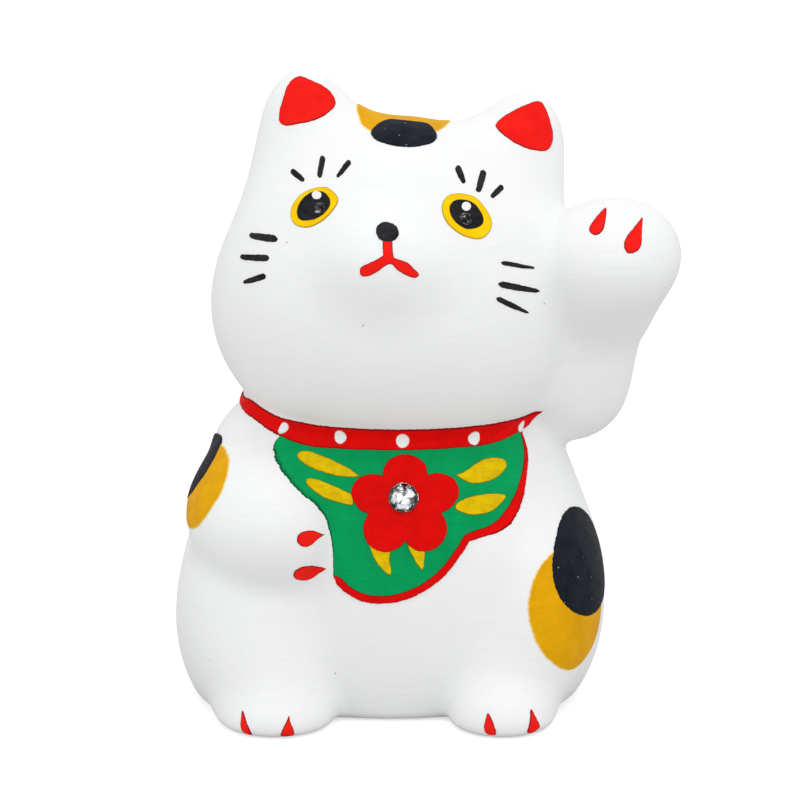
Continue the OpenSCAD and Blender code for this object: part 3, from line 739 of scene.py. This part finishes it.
coat("eye_irises", enamel("eye_yellow", IRIS, IRIS_DEEP, IRIS_EDGE), drawn(on_face, IRISES),
     pitch=0.4, uneven=0.03)
coat("eye_pupils", enamel("eye_black", BLACK, BLACK_DEEP, PUPIL_EDGE, edge_width=0.12),
     drawn(on_face, PUPILS), thick=0.22, pitch=0.4, uneven=0.03)
coat("eye_glints", enamel("glint_white", WHITE, WHITE_DEEP), [(on_face, g) for g in GLINTS],
     thick=0.3, pitch=0.3, uneven=0.04)
coat("nose", enamel("nose_black", BLACK, BLACK_DEEP, spots=(0.3, 0.3, 0.32)),
     [(on_face, oval((-2.8, 14.2), 3.6, 2.75, -4))], thick=0.2, pitch=0.3)
MOUTH = [
    (-3.3, 13.2), (-3.3, 12), (-3.1, 10.9), (-3.4, 10.5), (-4.5, 9.8), (-6.1, 8.8), (-6.5, 8.1),
    (-6.2, 7.3), (-5.3, 7.3), (-3.9, 8.1), (-2.8, 9.1), (-2, 9.6), (-1.5, 9.5), (-0.6, 8.8), (1.1, 8),
    (2.3, 7.8), (2.8, 8.3), (2.3, 8.9), (0.9, 10), (-0.4, 10.4), (-1.4, 10.7), (-1.7, 11.7), (-2, 13.2)]
coat("mouth", enamel("mouth_red", EAR_RED, EAR_DEEP, RED_EDGE), drawn(on_face, [MOUTH]), pitch=0.3)
# Each stroke: where the brush was set down, where it was lifted, width, and the share of it left at the end
LASHES = [((-19, 20.1), (-16.7, 19.1), 0.85, 0.75), ((-14.1, 23.1), (-14.35, 20), 0.85, 0.8),
          ((-9.7, 23.2), (-11.6, 20.5), 0.75, 0.6), ((7.3, 24.1), (8.7, 21.7), 0.95, 0.6),
          ((11.7, 23.6), (11, 20.5), 1, 0.85), ((15, 21.4), (13.2, 19.8), 0.85, 0.8)]
WHISKERS = [((-19.9, 9.9), (-24.6, 9.2), 1, 0.8), ((-20.9, 6.8), (-25.7, 5.6), 0.9, 0.8),
            ((-21.2, 4.0), (-24.8, 1.9), 0.85, 0.6), ((15.7, 10.3), (21.4, 9.3), 0.65, 0.5),
            ((15.6, 7.1), (22.6, 5.7), 0.95, 0.5), ((15.5, 4.9), (21.1, 2.4), 0.8, 0.45)]
coat("lash_strokes", enamel("lash_black", BLACK, BLACK_DEEP), [(on_face, stroke(*s)) for s in LASHES],
     pitch=0.3, uneven=0.04)
coat("whiskers", enamel("whisker_black", BLACK, BLACK_DEEP), [(on_face, stroke(*s)) for s in WHISKERS],
     pitch=0.3, uneven=0.04)
EARS = [
    [(-18.6, 34.2), (-16.1, 33.5), (-14.3, 32.6), (-13.2, 31.2), (-13.2, 30.1), (-15.3, 28.3),
     (-18.2, 27.2), (-20.3, 26.5), (-21.6, 26.7), (-21.9, 27.9), (-21.6, 30.4), (-21, 32.8), (-19.9, 34)],
    [(13.2, 29.7), (14.9, 28.4), (17.9, 27.1), (20.7, 26.6), (22, 26.9), (22.6, 28), (22.5, 29.6),
     (21.9, 31.4), (21, 33.2), (20.2, 34.1), (18.9, 34.1), (16.4, 32.9), (14.3, 31.4), (13.3, 30.4)]]
coat("ear_inners", enamel("ear_red", EAR_RED, EAR_DEEP, RED_EDGE), drawn(on_face, EARS), pitch=0.5)

# ---------------------------------------------------------------- markings and claws
CROWN_OCHRE = [(-17.2, 3), (-17.7, -2), (-17.3, -7), (-16.4, -11), (-13.5, -15), (-9.1, -18),
               (-4.3, -19.1), (2, -17.4), (7.3, -11.9), (10.3, -4.6), (11.3, 4), (8.5, 14), (1.5, 20),
               (-8, 18.5), (-14.6, 11.5)]
CROWN_BLACK = [(-13.6, -15), (-11.5, -10), (-8.2, -5.6), (-4.5, -5.9), (-0.1, -6.6), (3.5, -6.4),
               (5.8, -9.5), (7.4, -15.6), (6.2, -19.8), (3.2, -22.4), (-0.9, -24), (-5.5, -24),
               (-9.5, -22.4), (-12.6, -19.4)]
SHOULDER_OCHRE = [(-68, 43.4), (-62, 43), (-56.3, 42.1), (-52.2, 40.4), (-50.3, 38), (-51.2, 35.6),
                  (-53.5, 33.3), (-57, 31.7), (-63, 30.8), (-72, 32), (-80, 35), (-82, 39), (-76, 42.6)]
SHOULDER_BLACK = [(-79, 44.1), (-73, 44), (-68, 43), (-64.4, 41.7), (-62.2, 39.9), (-62.8, 38.2),
                  (-65, 36.2), (-72, 34.3), (-80, 34.7), (-86.5, 37), (-88.5, 40.6), (-85.5, 43.2)]
HAUNCH_OCHRE = oval((26, 18.8), 14.6, 20.4, -2)
HAUNCH_BLACK = oval((31.1, 25.1), 15.4, 18.3, -55)


def patch(points, across, up=1):
    """Closed curve through the points, each way times its scale."""
    return curve(np.asarray(points, float) * (across, up), closed=True)


coat("ochre_patches", enamel("ochre_enamel", OCHRE, OCHRE_DEEP, OCHRE_EDGE, patch=0.25), [
    (on_crown, patch(CROWN_OCHRE, CROWN_SCALE, CROWN_SCALE)), (round_body, HAUNCH_OCHRE),
    (round_body, patch(SHOULDER_OCHRE, ROUND_SCALE))])
coat("black_patches", enamel("patch_black", FLANK_BLACK, FLANK_DEEP, spots=(0.35, 0.36, 0.38)), [
    (on_crown, patch(CROWN_BLACK, CROWN_SCALE, CROWN_SCALE)), (round_body, HAUNCH_BLACK),
    (round_body, patch(SHOULDER_BLACK, ROUND_SCALE))], thick=0.22)
CLAWS = [
    [(-15.2, 31.6), (-14.8, 32.6), (-13.6, 32.9), (-12.4, 32.6), (-10.9, 31.75), (-10.9, 31.7),
     (-12, 31.2), (-12.8, 30.6), (-13.7, 30.3), (-14.7, 30.7)],
    [(-15.8, 25.4), (-15.4, 26.4), (-14.2, 26.9), (-12.6, 26.7), (-10.7, 25.95), (-10.7, 25.9),
     (-12, 25), (-13, 24.3), (-14.3, 24.1), (-15.4, 24.6)],
    [(-23.9, 4.2), (-24.2, 3), (-24.2, 1.7), (-23.8, 0.9), (-22.9, 0.5), (-22.4, 0.6), (-22.7, 1.4),
     (-23.2, 2.6)],
    [(-16.5, 3.8), (-17, 2.7), (-17.6, 1.6), (-17.8, 0.8), (-17.4, 0.5), (-16.6, 0.5), (-15.8, 0.6),
     (-15.6, 1), (-15.9, 2), (-16.3, 3)],
    [(15.3, 4.2), (14.8, 3.1), (14.55, 1.9), (14.8, 1.1), (15.5, 0.8), (16.3, 0.8), (16.5, 1.2),
     (16.2, 2.3)],
    [(22.1, 4.4), (21.9, 3), (21.6, 1.6), (21.5, 0.9), (22.1, 0.7), (22.9, 0.9), (23.5, 1.3), (23.4, 2),
     (22.8, 3.3)]]
PAW_CLAWS = [
    [(34.3, 82.5), (33.7, 82.3), (32.5, 81.3), (31.6, 80.2), (31.4, 79.4), (32.1, 78.9), (33, 79.1),
     (33.7, 80), (34.1, 81.3)],
    [(40, 81.1), (39.6, 81), (38.2, 79.7), (37.1, 78.5), (36.8, 77.3), (37.3, 76.4), (38.2, 76.3),
     (39.2, 76.8), (39.6, 77.6), (39.8, 79.4)]]
coat("claws", enamel("claw_red", EAR_RED, EAR_DEEP, RED_EDGE),
     drawn(on_front, CLAWS) + drawn(on_paw, PAW_CLAWS), pitch=0.3)


# ---------------------------------------------------------------- set stones
def seat(place, spot, lift):
    """Origin and axes, in mm, of a stone's seat on the skin."""
    p = place(np.float32([spot]))
    n = slope(cat_form, p)[0]
    x = np.cross((0, 0, 1), n)
    x /= np.linalg.norm(x)
    return p[0] + n * lift, x, np.cross(n, x), n


def rings_hull(levels):
    """Convex faceted solid through rings, each (radius, height, count, turn in degrees)."""
    points = []
    for radius, height, count, turn in levels:
        for i in range(count):
            a = math.radians(turn + i * 360 / count)
            points.append((radius * math.cos(a), radius * math.sin(a), height))
    bm = bmesh.new()
    for p in points:
        bm.verts.new(p)
    bmesh.ops.convex_hull(bm, input=bm.verts)
    bmesh.ops.dissolve_limit(bm, angle_limit=0.02, verts=bm.verts, edges=bm.edges)
    bm.verts.ensure_lookup_table()
    bm.verts.index_update()
    out = np.array([v.co[:] for v in bm.verts]), [tuple(v.index for v in f.verts) for f in bm.faces]
    bm.free()
    return out


def foil_disc(count, rings, low, high):
    """Round plate with count facets to a ring on its top: each ring is (radius, turn in degrees)."""
    v, f = [(0.0, 0.0, low), (0.0, 0.0, high)], []
    starts = []
    for level, (radius, turn) in enumerate(rings + rings[-1:]):
        starts.append(len(v))
        z = high if level < len(rings) else low
        for i in range(count):
            a = math.radians(turn + i * 360 / count)
            v.append((radius * math.cos(a), radius * math.sin(a), z))
    for i in range(count):
        k = (i + 1) % count
        f.append((1, starts[0] + i, starts[0] + k))
        for a, b in zip(starts, starts[1:]):
            f.append((a + i, b + i, b + k, a + k))
        f.append((0, starts[-1] + k, starts[-1] + i))
    return np.array(v), f


def stones(name, material, seats, shape, glint_tones=None, seed=0):
    """A stone of that shape on each seat; where tones are given, each facet draws one of them as its painted
    reflection brightness.
    """
    verts, faces, total = [], [], 0
    v, f = shape
    for origin, x, y, n in seats:
        verts.append(fit.metres(origin + v @ np.stack((x, y, n))))
        faces += [tuple(i + total for i in face) for face in f]
        total += len(v)
    piece = make_piece(name, np.concatenate(verts), faces, material, [name], smooth=False)
    if glint_tones:
        rng = np.random.default_rng(seed)
        picks = rng.choice(glint_tones, len(piece.data.polygons))
        piece.data.attributes.new("tone", "FLOAT", "FACE").data.foreach_set("value", picks.astype(np.float32))
    return piece


flower_seat = [seat(on_front, FLOWER + (-0.3, 0.6), 0.34)]
stones("crystal_glue", glass("glue_clear", (0.9, 0.86, 0.76)), flower_seat,
       rings_hull([(2.3, -0.05, 32, 0), (2.42, 0.06, 32, 0), (2.2, 0.14, 32, 0)]))
# Painted reflection: the foil's facets are coloured from black to white at random, so some shine and some
# stay dark.
stones("crystal_foil",
       cut_stone("foil_silver", (0.01, 0.012, 0.014), (1.0, 1.0, 1.0), (0.1, 0.25), 0.5, metal=1.0),
       flower_seat,
       foil_disc(16, [(0.95, 0), (1.6, 11), (2.3, 0)], 0.16, 0.3), (0.0, 0.1, 0.5, 1.0, 1.0, 1.0), seed=5)
stones("flower_crystal", glass("crystal_clear", (0.97, 0.985, 1.0)), flower_seat,
       rings_hull([(2.3, 0.32, 16, 0), (2.35, 0.55, 16, 0), (1.72, 1.25, 8, 11.25), (1.1, 1.75, 8, 33.75)]))
eye_seats = [seat(on_face, spot, 0.24) for spot in STONES]
stones("eye_stone_glue", glass("eye_glue_clear", (0.9, 0.86, 0.76)), eye_seats,
       rings_hull([(0.98, -0.02, 24, 0), (1.04, 0.04, 24, 0), (0.9, 0.1, 24, 0)]))
# Painted highlights: a few of the jet stones' facets are coloured pale grey, the rest black.
stones("eye_stones",
       cut_stone("jet_glass", (0.003, 0.003, 0.004), (0.6, 0.62, 0.66), (0.08, 0.2), 0.12), eye_seats,
       rings_hull([(1.0, 0.1, 8, 0), (1.0, 0.26, 8, 0), (0.75, 0.6, 8, 22.5), (0.45, 0.85, 8, 0)]),
       (0.0, 0.0, 0.0, 0.0, 0.02, 0.05, 0.2, 0.8), seed=3)


# ---------------------------------------------------------------- floor, light and camera
FLOOR_HALF = 3.0
FLOOR_TONES = (0.6, 0.6, 0.6), (0.62, 0.62, 0.62)
FLOOR_LIFT = 0.6  # the glow that only the camera sees
WORLD_LIGHT = 0.84
# Each lamp: name, place, size and watts
LAMPS = [("overhead", (0.05, -0.15, 0.8), 0.7, 1.3),
         ("left", (-0.9, -0.3, 0.4), 0.6, 0.85),
         ("right", (0.9, -0.3, 0.4), 0.6, 0.95),
         ("front", (0.0, -0.9, 0.25), 0.5, 0.9)]
LAMP_AIM = (0, 0, 0.05)
CAMERA_AIM = (0.00119, 0, 0.04871)
CAMERA_UP = 11.63  # degrees above level
CAMERA_AWAY = 0.6
LENS, SENSOR = 163.5, 36


def add_floor():
    mesh = bpy.data.meshes.new("floor")
    corners = [(x * FLOOR_HALF, y * FLOOR_HALF, 0) for x, y in ((-1, -1), (1, -1), (1, 1), (-1, 1))]
    mesh.from_pydata(corners, [], [(0, 1, 2, 3)])
    floor = bpy.data.objects.new("floor", mesh)
    bpy.context.scene.collection.objects.link(floor)
    s = Shade("floor_paper")
    cloud = s.noise(s.stretch(0.004, 0.004, 0.004), 2)
    s.set(s.surface, Base_Color=s.mix(s.ramp(cloud, 0.3, 0.7), *FLOOR_TONES),
          Roughness=0.9, Emission_Color=(1, 1, 1, 1))
    s.surface.inputs["Specular IOR Level"].default_value = 0
    seen = s.add("LightPath").outputs["Is Camera Ray"]
    s.tree.links.new(s.times(seen, FLOOR_LIFT), s.surface.inputs["Emission Strength"])
    mesh.materials.append(s.material)


def add_light(name, place, aim, size, watts):
    data = bpy.data.lights.new(name, "AREA")
    data.shape = "SQUARE"
    data.size = size
    data.energy = watts
    lamp = bpy.data.objects.new(name, data)
    lamp.location = place
    lamp.rotation_euler = (Vector(aim) - Vector(place)).to_track_quat("-Z", "Y").to_euler()
    bpy.context.scene.collection.objects.link(lamp)


def add_camera():
    data = bpy.data.cameras.new("camera")
    data.sensor_width = SENSOR
    data.lens = LENS
    data.clip_start, data.clip_end = 0.01, 20
    camera = bpy.data.objects.new("camera", data)
    up = math.radians(CAMERA_UP)
    camera.location = Vector(CAMERA_AIM) + Vector((0, -math.cos(up), math.sin(up))) * CAMERA_AWAY
    camera.rotation_euler = (math.pi / 2 - up, 0, 0)
    bpy.context.scene.collection.objects.link(camera)
    bpy.context.scene.camera = camera


def add_world():
    """White all round: full strength to the camera, WORLD_LIGHT to everything else."""
    world = bpy.data.worlds.new("studio")
    bpy.context.scene.world = world
    world.use_nodes = True
    sky = world.node_tree
    sky.nodes["Background"].inputs["Color"].default_value = (1, 1, 1, 1)
    seen = sky.nodes.new("ShaderNodeLightPath").outputs["Is Camera Ray"]
    level = sky.nodes.new("ShaderNodeMapRange")
    level.inputs["To Min"].default_value = WORLD_LIGHT
    sky.links.new(seen, level.inputs["Value"])
    sky.links.new(level.outputs["Result"], sky.nodes["Background"].inputs["Strength"])


add_floor()
add_world()
for name, place, size, watts in LAMPS:
    add_light(name, place, LAMP_AIM, size, watts)
add_camera()
bpy.context.scene.view_settings.view_transform = "Standard"
